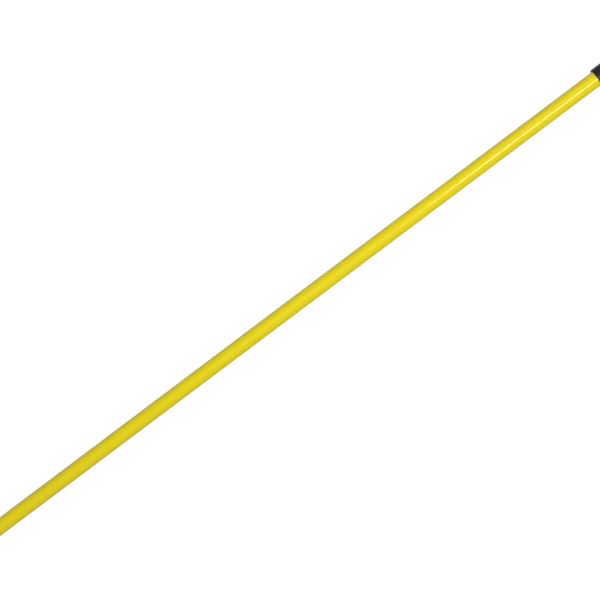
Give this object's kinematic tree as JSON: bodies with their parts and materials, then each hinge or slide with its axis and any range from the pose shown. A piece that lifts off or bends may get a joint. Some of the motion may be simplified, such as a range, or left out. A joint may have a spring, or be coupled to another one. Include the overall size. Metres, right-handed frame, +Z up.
{
  "type": "roller extension pole",
  "caption": "Telescopic steel pole for a paint roller, with a twist lock, a soft ribbed hand grip, a butt cap with a hanging eye and a coarse screw tip.",
  "frame": {"origin": "on the floor, under the middle of the closed pole's length", "axes": "+X along the pole from the butt cap to the screw tip, +Z up from the floor the closed pole lies on, +Y to the left seen from the butt end"},
  "size_m": [1.6504, 0.0354, 0.0353],
  "materials": {
    "yellow_powder_coat": "gloss powder coat over steel tube",
    "zinc_tube": "satin zinc plate",
    "zinc_casting": "bright zinc plate",
    "black_nylon": "satin moulded",
    "soft_grip": "matt soft touch",
    "white_acetal": "smooth natural acetal",
    "grey_felt": "dense felt",
    "aluminium_rivet": "plain",
    "steel_pin": "plain"
  },
  "bodies": {
    "outer_section": {"outer_tube": "yellow_powder_coat", "butt_cap": "black_nylon", "cap_rivets": "aluminium_rivet", "grip_sleeve": "soft_grip", "guide_liner": "white_acetal", "lock_base": "black_nylon", "base_rivets": "aluminium_rivet"},
    "clamp_ring": {"clamp_ring": "white_acetal"},
    "lock_nut": {"lock_nut": "black_nylon", "nut_cover": "soft_grip", "mouth_wiper": "grey_felt"},
    "guide_bush": {"guide_bush": "white_acetal"},
    "inner_section": {"inner_tube": "zinc_tube", "end_plug": "black_nylon", "plug_pin": "steel_pin", "bush_washer": "steel_pin", "bush_screw": "steel_pin", "tip_ferrule": "black_nylon", "threaded_tip": "zinc_casting", "tip_pin": "steel_pin"}
  },
  "joints": [
    {"name": "clamp_ring_slide", "type": "slide", "parent": "outer_section", "child": "clamp_ring", "axis": [1, 0, 0], "range_m": [0, 0.00301]},
    {"name": "lock_nut_turn", "type": "hinge", "parent": "clamp_ring", "child": "lock_nut", "pos_m": [0.7362, 0, 0.01766], "axis": [1, 0, 0], "range_deg": [0, 270]},
    {"name": "pole_extend", "type": "slide", "parent": "outer_section", "child": "guide_bush", "axis": [1, 0, 0], "range_m": [0, 1.35]},
    {"name": "inner_turn", "type": "hinge", "parent": "guide_bush", "child": "inner_section", "pos_m": [-0.7337, 0, 0.01766], "axis": [1, 0, 0], "continuous": true}
  ],
  "couplings": [
    {"joint": "clamp_ring_slide", "follows": "lock_nut_turn", "m_per_rad": 0.00063662}
  ]
}
